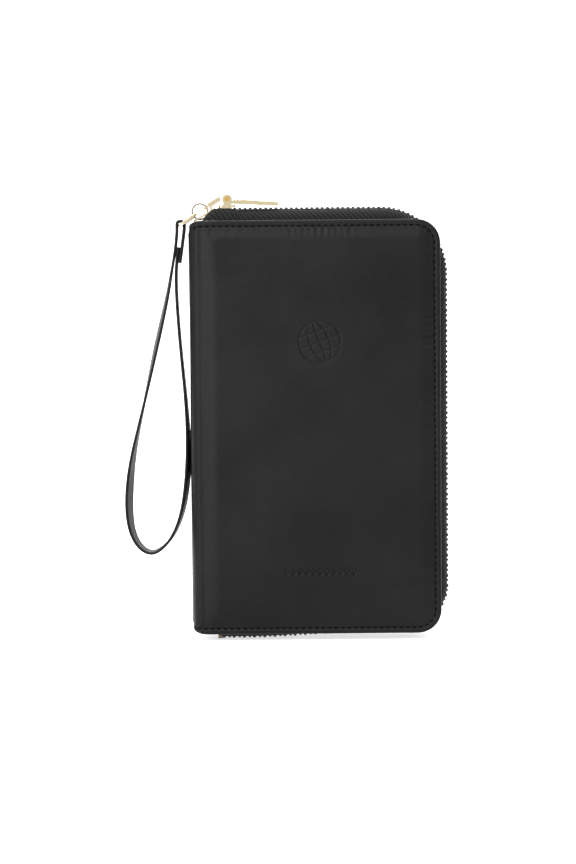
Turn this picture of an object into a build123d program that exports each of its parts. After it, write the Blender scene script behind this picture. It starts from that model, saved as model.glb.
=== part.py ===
from build123d import *
import math
import os

# Travel document organizer: two padded leather covers hinged on a narrow spine, closed by a
# zip that runs round the three free sides, with card, passport and boarding-pass pockets, a
# hinged divider page with a zipped coin pocket, and a wrist strap on a ring and a D-ring.
# Millimetres. X runs from the spine to the free edge, Y from the front cover to the back
# cover, Z from the bottom edge to the top edge.

# ---- driving dimensions ---------------------------------------------------------------------
cover_width = 126.0
cover_height = 209.0
thickness = 26.0
zip_side_rise = 4.4
zip_bottom_rise = 3.5
zip_top_rise = 6.8
cover_corner = 12.0
spine_corner = 6.5

leather = 1.1
foam = 1.2
board = 1.2
lining = 0.4
crease_gap = 0.5
layer_setback = 0.3
lining_inset = 0.6

# ---- derived frame --------------------------------------------------------------------------
half = thickness / 2
cover_bottom = zip_bottom_rise
cover_top = cover_bottom + cover_height
spine_x = -(cover_width + zip_side_rise) / 2
cover_right = spine_x + cover_width
crease_x = spine_x + spine_corner
cover_left = crease_x + crease_gap
ridge_right = cover_right + zip_side_rise
ridge_top = cover_top + zip_top_rise
ridge_bottom = cover_bottom - zip_bottom_rise
mid_z = (cover_bottom + cover_top) / 2
cover_stack = leather + foam + board + lining
inner_face = half - cover_stack

os.makedirs("parts", exist_ok=True)


def save(builder, label):
    """Names a finished piece and writes it as its own STEP file."""
    builder.part.label = label
    export_step(builder.part, f"parts/{label}.step")


def layer_start(side, outer_y, depth):
    """Offset of the XZ plane from which a layer of a cover is extruded towards the front."""
    return outer_y - depth if side == "front" else -outer_y


def free_edge_outline(inset, left):
    """A cover outline drawn in by inset: square at the left, rounded at the free corners."""
    right = cover_right - inset
    with Locations(((left + right) / 2, mid_z)):
        Rectangle(right - left, cover_height - 2 * inset)
    fillet(vertices().group_by(Axis.X)[-1], cover_corner - inset)


# ---- the two covers -------------------------------------------------------------------------
def cover_leather(side):
    """Outer leather with its edge turned in round the foam and the board."""
    rim_depth = foam + board
    with BuildPart() as piece:
        with BuildSketch(Plane.XZ.offset(layer_start(side, half, leather))):
            free_edge_outline(0, cover_left)
        extrude(amount=leather)
        with BuildSketch(Plane.XZ.offset(layer_start(side, half - leather, rim_depth))):
            free_edge_outline(0, cover_left)
            with BuildSketch(mode=Mode.PRIVATE) as hollow:
                free_edge_outline(leather, cover_left - leather)
            add(hollow.sketch, mode=Mode.SUBTRACT)
        extrude(amount=rim_depth)
    save(piece, f"{side}_leather")


def cover_layer(side, name, outer_y, depth, inset):
    """A plain sheet of the cover's stack, inside the turned edge."""
    with BuildPart() as piece:
        with BuildSketch(Plane.XZ.offset(layer_start(side, outer_y, depth))):
            free_edge_outline(inset, cover_left + layer_setback)
        extrude(amount=depth)
    save(piece, f"{side}_{name}")


for cover_side in ("front", "back"):
    cover_leather(cover_side)
    cover_layer(cover_side, "foam", half - leather, foam, leather)
    cover_layer(cover_side, "board", half - leather - foam, board, leather)
    cover_layer(cover_side, "lining", inner_face + lining, lining, lining_inset)

# ---- pockets inside the covers --------------------------------------------------------------
pocket_left = -54.0
pocket_right = 50.0
pocket_low_corner = 8.0
pocket_top_corner = 3.0
card_layer = 0.7
card_step = 14.0
card_bottom = 104.0
card_tops = [card_bottom + 78.0 - card_step * step for step in range(3)]
slip_bottom = 14.0
slip_top = 101.0
boarding_bottom = 14.0
boarding_top = 190.0
passport_bottom = 16.0
passport_top = 118.0
passport_left = -48.0
passport_right = 46.0
passport_layer = 0.9


def pocket(side, label, outer_y, depth, low, high):
    """A flat pocket panel between two corners given as (x, z), rounded beside the zip."""
    with BuildPart() as piece:
        with BuildSketch(Plane.XZ.offset(layer_start(side, outer_y, depth))):
            with Locations(((low[0] + high[0]) / 2, (low[1] + high[1]) / 2)):
                Rectangle(high[0] - low[0], high[1] - low[1])
            fillet(vertices().group_by(Axis.X)[-1].sort_by(Axis.Y)[0], pocket_low_corner)
            fillet(vertices().group_by(Axis.Y)[-1], pocket_top_corner)
        extrude(amount=depth)
    save(piece, label)


for slot, card_top in enumerate(card_tops):
    layer_y = inner_face - card_layer * slot
    low_corner = (pocket_left, card_bottom)
    pocket("front", f"card_pocket_{slot + 1}", layer_y, card_layer, low_corner,
           (pocket_right, card_top))
pocket("front", "slip_pocket", inner_face, card_layer, (pocket_left, slip_bottom),
       (pocket_right, slip_top))
pocket("back", "boarding_pass_pocket", inner_face, card_layer, (pocket_left, boarding_bottom),
       (pocket_right, boarding_top))
pocket("back", "passport_pocket", inner_face - card_layer, passport_layer,
       (passport_left, passport_bottom), (passport_right, passport_top))

# ---- spine ----------------------------------------------------------------------------------
spine_board = 1.0
spine_foam_depth = 0.8
spine_flat = 2 * (half - spine_corner)
clip_half_width = 3.0
clip_leg_bottom = 204.0
clip_notch_gap = 0.2

with BuildPart() as spine_leather:
    with BuildSketch(Plane.XY.offset(cover_bottom)):
        with BuildLine():
            RadiusArc((crease_x, half), (spine_x, half - spine_corner), -spine_corner)
            Line((spine_x, half - spine_corner), (spine_x, spine_corner - half))
            RadiusArc((spine_x, spine_corner - half), (crease_x, -half), -spine_corner)
            Line((crease_x, -half), (crease_x, leather - half))
            RadiusArc((crease_x, leather - half), (spine_x + leather, spine_corner - half),
                      spine_corner - leather)
            Line((spine_x + leather, spine_corner - half),
                 (spine_x + leather, half - spine_corner))
            RadiusArc((spine_x + leather, half - spine_corner), (crease_x, half - leather),
                      spine_corner - leather)
            Line((crease_x, half - leather), (crease_x, half))
        make_face()
    extrude(amount=cover_height)
save(spine_leather, "spine_leather")


def spine_sheet(label, outer_x, depth, width, margin, notch=False):
    """A flat sheet behind the spine leather, with an optional notch for the clip's leg."""
    with BuildPart() as piece:
        with Locations((outer_x + depth / 2, 0, mid_z)):
            Box(depth, width, cover_height - 2 * margin)
        if notch:
            with Locations((outer_x + depth / 2, 0, (clip_leg_bottom + cover_top) / 2)):
                Box(depth, 2 * (clip_half_width + clip_notch_gap),
                    cover_top - clip_leg_bottom + 2 * clip_notch_gap, mode=Mode.SUBTRACT)
    save(piece, label)


spine_sheet("spine_board", spine_x + leather, spine_board, spine_flat, 1.5)
foam_x = spine_x + leather + spine_board
spine_sheet("spine_foam", foam_x, spine_foam_depth, spine_flat, 1.5, notch=True)
lining_x = foam_x + spine_foam_depth
spine_sheet("spine_lining", lining_x, lining, spine_flat + 2, 3.0)

# ---- zip tapes and coils --------------------------------------------------------------------
zip_start_x = -52.8
front_coil_start_x = -40.8
zip_top_corner = 34.0
zip_bottom_corner = 26.0
coil_height = 1.7
coil_width = 1.8
coil_gap = 0.5
tape_thickness = 0.6
tape_flat_end = 5.2
flange_near = 6.5
flange_far = 12.0
stop_length = 2.4
stop_gap = 0.2


def zip_route(start_x, end_x):
    """The ridge line: along the top, round two corners, and back along the bottom."""
    top_centre = ridge_right - zip_top_corner
    bottom_centre = ridge_right - zip_bottom_corner
    with BuildLine() as route:
        Line((start_x, 0, ridge_top), (top_centre, 0, ridge_top))
        ThreePointArc((top_centre, 0, ridge_top), corner_point(top_centre, ridge_top, 1),
                      (ridge_right, 0, ridge_top - zip_top_corner))
        Line((ridge_right, 0, ridge_top - zip_top_corner),
             (ridge_right, 0, ridge_bottom + zip_bottom_corner))
        ThreePointArc((ridge_right, 0, ridge_bottom + zip_bottom_corner),
                      corner_point(bottom_centre, ridge_bottom, -1),
                      (bottom_centre, 0, ridge_bottom))
        Line((bottom_centre, 0, ridge_bottom), (end_x, 0, ridge_bottom))
    return route


def corner_point(centre_x, edge_z, up):
    """The 45 degree point of a corner arc of the ridge."""
    radius = ridge_right - centre_x
    reach = radius * math.sqrt(0.5)
    return (centre_x + reach, 0, edge_z - up * (radius - reach))


def zip_profile(side, points, start_x, end_x, label):
    """Sweeps a closed profile, given as (depth below the ridge, distance from the middle)."""
    sign = 1 if side == "front" else -1
    with BuildPart() as piece:
        route = zip_route(start_x, end_x)
        start = Plane(origin=(start_x, 0, ridge_top), x_dir=(0, 0, 1), z_dir=(1, 0, 0))
        with BuildSketch(start):
            with BuildLine():
                Polyline([(-depth, sign * away) for depth, away in points], close=True)
            make_face()
        sweep(path=route.wires()[0])
    save(piece, label)


tape_top = coil_height
tape_under = coil_height + tape_thickness
flange_outer = inner_face - 0.05
flange_inside = flange_outer - tape_thickness
tape_points = [
    (tape_top, coil_gap), (tape_top, tape_flat_end), (flange_near, flange_outer),
    (flange_far, flange_outer), (flange_far, flange_inside),
    (flange_near + tape_thickness / 2, flange_inside),
    (tape_under, tape_flat_end - 0.75 * tape_thickness), (tape_under, coil_gap)]
coil_round = 0.3
coil_outer = coil_gap + coil_width
coil_points = [
    (0, coil_gap + coil_round), (coil_round, coil_gap), (tape_top, coil_gap),
    (tape_top, coil_outer), (2 * coil_round, coil_outer),
    (0, coil_outer - 2 * coil_round)]
coil_end_x = zip_start_x + stop_length

for zip_side in ("front", "back"):
    zip_profile(zip_side, tape_points, zip_start_x, zip_start_x, f"{zip_side}_zip_tape")
zip_profile("front", coil_points, front_coil_start_x, coil_end_x, "front_zip_coil")
zip_profile("back", coil_points, zip_start_x, coil_end_x, "back_zip_coil")

for zip_side in ("front", "back"):
    stop_sign = -1 if zip_side == "front" else 1
    with BuildPart() as zip_stop:
        with Locations((zip_start_x + (stop_length - stop_gap) / 2,
                        stop_sign * (coil_gap + coil_width / 2), ridge_bottom + coil_height / 2)):
            Box(stop_length - stop_gap, coil_width, coil_height)
        fillet(zip_stop.edges().filter_by(Axis.X), coil_round)
    save(zip_stop, f"{zip_side}_zip_stop")

# ---- zip slider and pull --------------------------------------------------------------------
slider_left = -50.6
slider_length = 9.0
slider_half_width = 3.9
slider_gap = 0.15
plate = 1.0
flange_inner = 2.55
pillar_half = 0.25
pillar_length = 2.5
pillar_setback = 0.3
slider_round = 2.2
pull_x = -46.0
pull_z = ridge_top + 4.1
barrel_radius = 2.5
ear_radius = 2.0
ear_inner = 2.6
ear_outer = 3.3
pin_radius = 0.8
pin_clearance = 0.02
pin_head_radius = 1.3
pin_head = 0.4
slider_mid = slider_left + slider_length / 2
slider_top = ridge_top + slider_gap + plate

with BuildPart() as slider_body:
    with BuildSketch(Plane.XY.offset(ridge_top + slider_gap)):
        with Locations((slider_mid, 0)):
            RectangleRounded(slider_length, 2 * slider_half_width, slider_round)
    extrude(amount=plate)
    with BuildSketch(Plane.XY.offset(ridge_top - tape_under - slider_gap - plate)):
        with Locations((slider_mid, 0)):
            RectangleRounded(slider_length, 2 * slider_half_width, slider_round)
    extrude(amount=plate)
    flange_depth = tape_top
    flange_mid = (flange_inner + slider_half_width) / 2
    with Locations((slider_mid, flange_mid, ridge_top + slider_gap - flange_depth / 2),
                   (slider_mid, -flange_mid, ridge_top + slider_gap - flange_depth / 2)):
        Box(slider_length - 2 * slider_round, slider_half_width - flange_inner, flange_depth)
    pillar_height = tape_under + 2 * slider_gap
    with Locations((slider_left + pillar_setback + pillar_length / 2, 0,
                    ridge_top + slider_gap - pillar_height / 2)):
        Box(pillar_length, 2 * pillar_half, pillar_height)
    for ear_y in (-ear_outer, ear_inner):
        with BuildSketch(Plane.XZ.offset(-ear_y - (ear_outer - ear_inner))):
            with Locations((pull_x, pull_z)):
                Circle(ear_radius)
            with Locations((pull_x, (pull_z + slider_top) / 2)):
                Rectangle(2 * ear_radius, pull_z - slider_top)
            with Locations((pull_x, pull_z)):
                Circle(pin_radius + pin_clearance, mode=Mode.SUBTRACT)
        extrude(amount=ear_outer - ear_inner)
save(slider_body, "slider_body")

with BuildPart() as pull_pin:
    with BuildSketch(Plane.XZ.offset(-ear_outer)):
        with Locations((pull_x, pull_z)):
            Circle(pin_radius)
    extrude(amount=2 * ear_outer)
    for head_offset in (ear_outer, -ear_outer - pin_head):
        with BuildSketch(Plane.XZ.offset(head_offset)):
            with Locations((pull_x, pull_z)):
                Circle(pin_head_radius)
        extrude(amount=pin_head)
save(pull_pin, "pull_pin")

pull_slope = math.radians(3.0)
pull_plate = 1.6
pull_drop = 0.6
pull_length = 26.0
pull_neck = 2.8
pull_half_width = 2.9
neck_half_width = 2.2
pull_bore_clearance = 0.05
pull_corner = 1.6
pull_plane = Plane(origin=(pull_x, 0, pull_z),
                   x_dir=(math.cos(pull_slope), 0, -math.sin(pull_slope)), z_dir=(0, -1, 0))

with BuildPart() as pull_tab:
    with BuildSketch(pull_plane.offset(-neck_half_width)):
        Circle(barrel_radius)
        with Locations((pull_neck / 2, -pull_drop - pull_plate / 2)):
            Rectangle(pull_neck + 1, pull_plate)
        Circle(pin_radius + pull_bore_clearance, mode=Mode.SUBTRACT)
    extrude(amount=2 * neck_half_width)
    with BuildSketch(pull_plane.offset(-pull_half_width)):
        with Locations(((pull_neck + pull_length) / 2, -pull_drop - pull_plate / 2)):
            Rectangle(pull_length - pull_neck, pull_plate)
    extrude(amount=2 * pull_half_width)
    far_corners = pull_tab.edges().filter_by(Axis.Z, tolerance=5).sort_by(Axis.X)[-2:]
    fillet(far_corners, pull_corner)
save(pull_tab, "pull_tab")

# ---- clip at the zip's end, on the spine ----------------------------------------------------
leg_x = foam_x + spine_foam_depth / 2
band_low_z = cover_top + 0.1
band_high = (-53.7, cover_top + 5.3)
post_depth = 1.1
upper_high = (-49.5, pull_z + 0.5)
upper_low = (-55.4, pull_z - 3.2)
eye_centre = (-56.6, pull_z - 3.95)
upper_depth = 2.4
upper_half_width = 2.2
eye_depth = 1.0
eye_hole = 1.2
eye_margin = 1.9
eye_reach = 1.4
slot_half = 0.9
upper_angle = math.atan2(upper_high[1] - upper_low[1], upper_high[0] - upper_low[0])
eye_plane = Plane(origin=(eye_centre[0], 0, eye_centre[1]),
                  x_dir=(math.cos(upper_angle), 0, math.sin(upper_angle)),
                  z_dir=(-math.sin(upper_angle), 0, math.cos(upper_angle)))

with BuildPart() as zip_end_clip:
    with BuildSketch(Plane.XZ.offset(-clip_half_width)):
        with BuildLine():
            Polyline((leg_x, clip_leg_bottom + clip_notch_gap), (leg_x, band_low_z), band_high)
        trace(line_width=spine_foam_depth)
    extrude(amount=2 * clip_half_width)
    slot_right = band_high[0] - post_depth
    with Locations(((spine_x + slot_right) / 2, 0, (cover_top + band_high[1]) / 2)):
        Box(slot_right - spine_x, 2 * slot_half, band_high[1] - cover_top + post_depth,
            mode=Mode.SUBTRACT)
    with BuildSketch(Plane.XZ.offset(-upper_half_width)):
        with BuildLine():
            Line(upper_low, upper_high)
        trace(line_width=upper_depth)
    extrude(amount=2 * upper_half_width)
    with BuildSketch(Plane.XZ.offset(-upper_half_width)):
        with Locations((band_high[0] - spine_foam_depth / 2, (band_high[1] + upper_low[1]) / 2)):
            Rectangle(post_depth, upper_low[1] - band_high[1] + post_depth)
    extrude(amount=2 * upper_half_width)
    with BuildSketch(eye_plane.offset(-eye_depth / 2)):
        SlotCenterPoint((0, 0), (eye_reach, 0), 2 * eye_margin)
        Circle(eye_hole, mode=Mode.SUBTRACT)
    extrude(amount=eye_depth)
save(zip_end_clip, "zip_end_clip")

# ---- split ring and D-ring ------------------------------------------------------------------
ring_radius = 3.9
ring_wire = 0.45
ring_centre = (eye_centre[0] - ring_radius * math.cos(upper_angle),
               eye_centre[1] - ring_radius * math.sin(upper_angle))

with BuildPart() as split_ring:
    with Locations(Plane(origin=(ring_centre[0], 0, ring_centre[1]), z_dir=(0, 1, 0))):
        Torus(ring_radius, ring_wire)
save(split_ring, "split_ring")

bar_x = -69.75
bar_z = cover_top - 2.1
d_wire = 0.75
d_half_width = 5.4
d_bend = 1.6
d_edge = 0.35
near_reach = 2.5
near_bar = (ring_centre[0] - near_reach * 0.8, ring_centre[1] - near_reach * 0.6)
d_length = math.hypot(near_bar[0] - bar_x, near_bar[1] - bar_z)
d_plane = Plane(origin=(near_bar[0], 0, near_bar[1]),
                x_dir=((bar_x - near_bar[0]) / d_length, 0, (bar_z - near_bar[1]) / d_length),
                z_dir=((bar_z - near_bar[1]) / d_length, 0, (near_bar[0] - bar_x) / d_length))

with BuildPart() as d_ring:
    with BuildSketch(d_plane):
        with Locations((d_length / 2, 0)):
            RectangleRounded(d_length + 2 * d_wire, 2 * (d_half_width + d_wire), d_bend + d_wire)
            RectangleRounded(d_length - 2 * d_wire, 2 * (d_half_width - d_wire), d_bend - d_wire,
                             mode=Mode.SUBTRACT)
    extrude(amount=d_wire, both=True)
    fillet(d_ring.edges().filter_by(lambda edge: edge.length > 0.2), d_edge)
save(d_ring, "d_ring")

# ---- wrist strap ----------------------------------------------------------------------------
# The route is one flat band: its end flap, the fold over the D-ring's bar, the long hanging
# loop, and back up to end between the two layers below the bar.
strap_width = 9.0
strap_thickness = 1.4
strap_route = [
    (-70.2, 191.5), (-69.2, 198.5), (-68.3, 205.0), (-67.8, 209.0), (-67.7, 212.6),
    (-71.6, 212.6), (-71.5, 209.0), (-71.7, 205.5), (-72.4, 199.0), (-74.2, 189.0),
    (-76.5, 176.0), (-80.0, 161.0), (-84.0, 144.0), (-88.0, 126.0), (-92.0, 109.0),
    (-95.5, 93.0), (-97.3, 78.5), (-97.8, 66.0), (-96.5, 55.0), (-92.5, 47.0), (-86.5, 43.5),
    (-80.5, 46.5), (-75.0, 53.0), (-70.8, 63.0), (-68.3, 75.5), (-67.1, 90.0), (-67.1, 107.0),
    (-68.2, 125.0), (-69.9, 143.0), (-71.2, 159.0), (-72.0, 172.5), (-72.3, 184.0),
    (-71.8, 192.5), (-70.75, 199.5)]


def corner_radii(points):
    """One radius for each corner, as large as its two runs allow."""
    radii = []
    for before, corner, after in zip(points, points[1:], points[2:]):
        run_in = Vector(*corner) - Vector(*before)
        run_out = Vector(*after) - Vector(*corner)
        turn = math.radians(run_in.get_angle(run_out))
        shorter = min(run_in.length, run_out.length)
        radii.append(0.45 * shorter / math.tan(turn / 2))
    return radii


strap_radii = corner_radii(strap_route)
print("strap corner radii:", [round(radius, 1) for radius in strap_radii])

with BuildPart() as strap_band:
    with BuildSketch(Plane.XZ.offset(-strap_width / 2)):
        with BuildLine() as strap_line:
            FilletPolyline(strap_route, radius=strap_radii)
        trace(line_width=strap_thickness)
    extrude(amount=strap_width)
strap_length = sum(edge.length for edge in strap_line.edges())
print("strap length:", round(strap_length, 1), "volume ratio:",
      round(strap_band.part.volume / (strap_length * strap_width * strap_thickness), 4))
save(strap_band, "strap_band")

# ---- divider page with its zipped coin pocket -----------------------------------------------
page_left = -54.0
page_right = 49.0
page_bottom = 16.0
page_top = 203.0
page_corner = 5.0
gusset_margin = 4.0
page_sheet = 0.8
pocket_gap = 0.8
rim_width = 3.0
gusset_left = -60.65
coin_zip_z = 176.0
coin_tape_half = 5.0
coin_tape_gap = 0.35
coin_tape = 0.6
coin_coil = 1.0
coin_coil_width = 1.1
page_width = page_right - page_left
page_mid_x = (page_left + page_right) / 2
front_sheet_y = -pocket_gap - page_sheet


def page_block(label, low, high):
    """A flat block of the page between two corners."""
    with BuildPart() as piece:
        with Locations(tuple((a + b) / 2 for a, b in zip(low, high))):
            Box(*[b - a for a, b in zip(low, high)])
    save(piece, label)


page_block("page_gusset", (gusset_left, 0, page_bottom + gusset_margin),
           (page_left, page_sheet, page_top - gusset_margin))
page_block("coin_pocket_header", (page_left, front_sheet_y, coin_zip_z + coin_tape_half),
           (page_right, -pocket_gap, page_top))
page_block("coin_pocket_panel", (page_left, front_sheet_y, page_bottom),
           (page_right, -pocket_gap, coin_zip_z - coin_tape_half))

with BuildPart() as page_back:
    with BuildSketch(Plane.XZ.offset(-page_sheet)):
        with Locations((page_mid_x, (page_bottom + page_top) / 2)):
            Rectangle(page_width, page_top - page_bottom)
        fillet(vertices().group_by(Axis.X)[-1], page_corner)
    extrude(amount=page_sheet)
save(page_back, "divider_page")

with BuildPart() as page_rim:
    with BuildSketch(Plane.XZ):
        with Locations((page_mid_x, (page_bottom + page_top) / 2)):
            Rectangle(page_width, page_top - page_bottom)
            Rectangle(page_width - 2 * rim_width, page_top - page_bottom - 2 * rim_width,
                      mode=Mode.SUBTRACT)
    extrude(amount=pocket_gap)
save(page_rim, "coin_pocket_rim")

coin_left = page_left + rim_width
coin_right = page_right - rim_width
with BuildPart() as coin_zip_tape:
    tape_width = coin_tape_half - coin_tape_gap
    tape_y = front_sheet_y + coin_tape / 2 + 0.1
    with Locations((page_mid_x, tape_y, coin_zip_z + coin_tape_gap + tape_width / 2),
                   (page_mid_x, tape_y, coin_zip_z - coin_tape_gap - tape_width / 2)):
        Box(page_width, coin_tape, tape_width)
save(coin_zip_tape, "coin_zip_tape")

coil_front_y = front_sheet_y + 0.1 - coin_coil
with BuildPart() as coin_zip_coil:
    coil_offset = coin_tape_gap + coin_coil_width / 2
    with Locations((page_mid_x, coil_front_y + coin_coil / 2, coin_zip_z + coil_offset),
                   (page_mid_x, coil_front_y + coin_coil / 2, coin_zip_z - coil_offset)):
        Box(coin_right - coin_left, coin_coil, coin_coil_width)
save(coin_zip_coil, "coin_zip_coil")

coin_slider_left = coin_left + 1.0
coin_slider_length = 6.5
coin_slider_half = 2.7
coin_flange_inner = coin_tape_gap + coin_coil_width + 0.15
coin_slider_mid = coin_slider_left + coin_slider_length / 2
coin_front_y = coil_front_y - 0.15
coin_plate = 0.7
coin_pull_top = coin_zip_z + 0.6
coin_stud = 0.6
coin_pull_back_y = coin_front_y - coin_plate - 0.1

with BuildPart() as coin_slider:
    with BuildSketch(Plane.XZ.offset(-coin_front_y)):
        with Locations((coin_slider_mid, coin_zip_z)):
            RectangleRounded(coin_slider_length, 2 * coin_slider_half, 1.2)
    extrude(amount=coin_plate)
    flange_y = coin_coil - 0.2 + 0.15
    for flange_sign in (-1, 1):
        with Locations((coin_slider_mid, coin_front_y + flange_y / 2,
                        coin_zip_z + flange_sign * (coin_flange_inner + coin_slider_half) / 2)):
            Box(coin_slider_length - 3, flange_y, coin_slider_half - coin_flange_inner)
    with Locations((coin_slider_left + 1.4, coin_front_y + flange_y / 2 + 0.4, coin_zip_z)):
        Box(1.4, flange_y + 0.8, 0.3)
    with BuildSketch(Plane.XZ.offset(-coin_front_y + coin_plate)):
        with Locations((coin_slider_mid, coin_pull_top)):
            Circle(coin_stud)
    extrude(amount=0.9)
    with BuildSketch(Plane.XZ.offset(-coin_front_y + coin_plate + 0.9)):
        with Locations((coin_slider_mid, coin_pull_top)):
            Circle(coin_stud + 0.5)
    extrude(amount=0.35)
save(coin_slider, "coin_slider")

with BuildPart() as coin_pull:
    with BuildSketch(Plane.XZ.offset(-coin_pull_back_y)):
        with Locations((coin_slider_mid, coin_pull_top - 8.0)):
            RectangleRounded(3.6, 19.0, 1.7)
        with Locations((coin_slider_mid, coin_pull_top)):
            Circle(coin_stud + 0.06, mode=Mode.SUBTRACT)
        with Locations((coin_slider_mid, coin_pull_top - 13.0)):
            SlotOverall(4.0, 1.4, rotation=90, mode=Mode.SUBTRACT)
    extrude(amount=0.7)
save(coin_pull, "coin_pull")
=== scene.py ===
import math

import bmesh
import bpy
import numpy as np
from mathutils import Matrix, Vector


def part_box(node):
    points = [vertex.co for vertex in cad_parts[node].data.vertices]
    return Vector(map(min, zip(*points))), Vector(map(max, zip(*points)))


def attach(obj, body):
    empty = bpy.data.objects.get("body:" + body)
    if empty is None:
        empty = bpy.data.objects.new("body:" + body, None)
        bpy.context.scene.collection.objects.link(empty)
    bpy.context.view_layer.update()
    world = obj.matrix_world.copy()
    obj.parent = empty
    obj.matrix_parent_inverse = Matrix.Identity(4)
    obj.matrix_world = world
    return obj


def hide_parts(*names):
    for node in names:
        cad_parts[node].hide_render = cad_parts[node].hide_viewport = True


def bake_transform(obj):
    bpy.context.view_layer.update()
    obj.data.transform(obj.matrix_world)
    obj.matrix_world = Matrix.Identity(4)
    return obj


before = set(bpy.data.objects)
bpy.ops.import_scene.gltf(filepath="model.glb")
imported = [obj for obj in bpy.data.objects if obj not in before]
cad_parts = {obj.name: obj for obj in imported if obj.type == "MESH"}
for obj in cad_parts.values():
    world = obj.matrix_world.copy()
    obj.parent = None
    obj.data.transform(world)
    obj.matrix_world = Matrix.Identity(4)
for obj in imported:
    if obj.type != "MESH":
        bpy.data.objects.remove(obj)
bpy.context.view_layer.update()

# Travel document organizer: a black leather zip-around wallet with a wrist strap.
# Metres, in the CAD's frame: X from the spine to the free edge, Y from front to back, Z up.

MM = 0.001

# ---- places taken from the frame ------------------------------------------------------------
front_low, front_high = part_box("front_leather")
spine_low, spine_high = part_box("spine_leather")
coil_low, coil_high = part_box("back_zip_coil")

HALF = -front_low.y
COVER_BOTTOM = front_low.z
COVER_TOP = front_high.z
COVER_RIGHT = front_high.x
SPINE_X = spine_low.x
CREASE_X = spine_high.x
SPINE_CORNER = CREASE_X - SPINE_X
COVER_CORNER = 12 * MM
RIDGE_TOP = coil_high.z
RIDGE_BOTTOM = coil_low.z
RIDGE_RIGHT = coil_high.x
ZIP_START_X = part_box("front_zip_tape")[0].x
MID_Z = (COVER_BOTTOM + COVER_TOP) / 2
COVER_HEIGHT = COVER_TOP - COVER_BOTTOM


def bright(value):
    """A grey of one value."""
    return (value, value, value, 1)


# ---- camera ---------------------------------------------------------------------------------
CAMERA_X = -16.3 * MM
CAMERA_DISTANCE = 1.1
CAMERA_ELEVATION = math.radians(3.94)
CAMERA_ROLL = math.radians(0.5)
VIEW_CENTRE_Z = 105.3 * MM
VIEW_HEIGHT = 439.9 * MM
SENSOR_WIDTH = 36

camera_data = bpy.data.cameras.new("camera")
camera_data.sensor_width = SENSOR_WIDTH
camera_data.lens = SENSOR_WIDTH * CAMERA_DISTANCE / VIEW_HEIGHT
camera = bpy.data.objects.new("camera", camera_data)
camera.location = (CAMERA_X, -CAMERA_DISTANCE * math.cos(CAMERA_ELEVATION),
                   VIEW_CENTRE_Z + CAMERA_DISTANCE * math.sin(CAMERA_ELEVATION))
camera.rotation_euler = (math.radians(90) - CAMERA_ELEVATION, 0, 0)
camera.rotation_euler.rotate_axis("Z", -CAMERA_ROLL)
bpy.context.scene.collection.objects.link(camera)
bpy.context.scene.camera = camera


# ---- mesh helpers ---------------------------------------------------------------------------
AROUND = np.linspace(0, math.tau, 8, endpoint=False)   # angles of a thin round section


def mesh_piece(name, vertices, faces, uvs=None):
    """A smooth mesh object from points and faces, with its normals made to point outwards."""
    mesh = bpy.data.meshes.new(name)
    mesh.from_pydata([tuple(float(c) for c in v) for v in vertices], [], faces)
    shape = bmesh.new()
    shape.from_mesh(mesh)
    bmesh.ops.recalc_face_normals(shape, faces=shape.faces)
    shape.to_mesh(mesh)
    shape.free()
    if uvs is not None:
        layer = mesh.uv_layers.new(name="UVMap")
        for loop in mesh.loops:
            layer.data[loop.index].uv = uvs[loop.vertex_index]
    mesh.polygons.foreach_set("use_smooth", [True] * len(mesh.polygons))
    piece = bpy.data.objects.new(name, mesh)
    bpy.context.scene.collection.objects.link(piece)
    return piece


def grid_faces(rows, columns, start=0, close_columns=False):
    """Quads over a grid of points stored row by row."""
    faces = []
    last = columns if close_columns else columns - 1
    for row in range(rows - 1):
        for column in range(last):
            after = (column + 1) % columns
            a = start + row * columns + column
            b = start + row * columns + after
            faces.append((a, b, b + columns, a + columns))
    return faces


def tube(rings):
    """Points and faces of a tube through rings of points, closed at both ends."""
    columns = len(rings[0])
    vertices = [vertex for ring in rings for vertex in ring]
    faces = grid_faces(len(rings), columns, close_columns=True)
    faces.append(tuple(range(columns)))
    faces.append(tuple(range(len(vertices) - columns, len(vertices))))
    return vertices, faces


def add_tube(vertices, faces, rings):
    """Adds one more closed tube to a mesh's points and faces."""
    base = len(vertices)
    tube_vertices, tube_faces = tube(rings)
    vertices += tube_vertices
    faces += [tuple(base + index for index in face) for face in tube_faces]


def lengths_along(points):
    """The length of a line of points up to each of them."""
    steps = np.linalg.norm(np.diff(points, axis=0), axis=1)
    return np.concatenate([[0], np.cumsum(steps)])


def interpolated(place, lengths, values):
    """Each column of values, read at one place along a line."""
    return np.array([np.interp(place, lengths, column) for column in values.T])


def smoothstep(value):
    """0 below 0, 1 above 1, and smooth between."""
    t = np.clip(value, 0, 1)
    return t * t * (3 - 2 * t)


def bell(value, width):
    """A soft bump of height 1 at 0."""
    return np.exp(-(value / width) ** 2)


# ---- materials ------------------------------------------------------------------------------
NOISE_ROUGHNESS = 0.55
SHINE_PATCHES = 24.0     # patches of shine to a metre of leather
WEFT_PITCH = 0.7 * MM
WARP_PITCH = 0.6 * MM
TWILL_PITCH = 1.1 * MM


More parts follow.
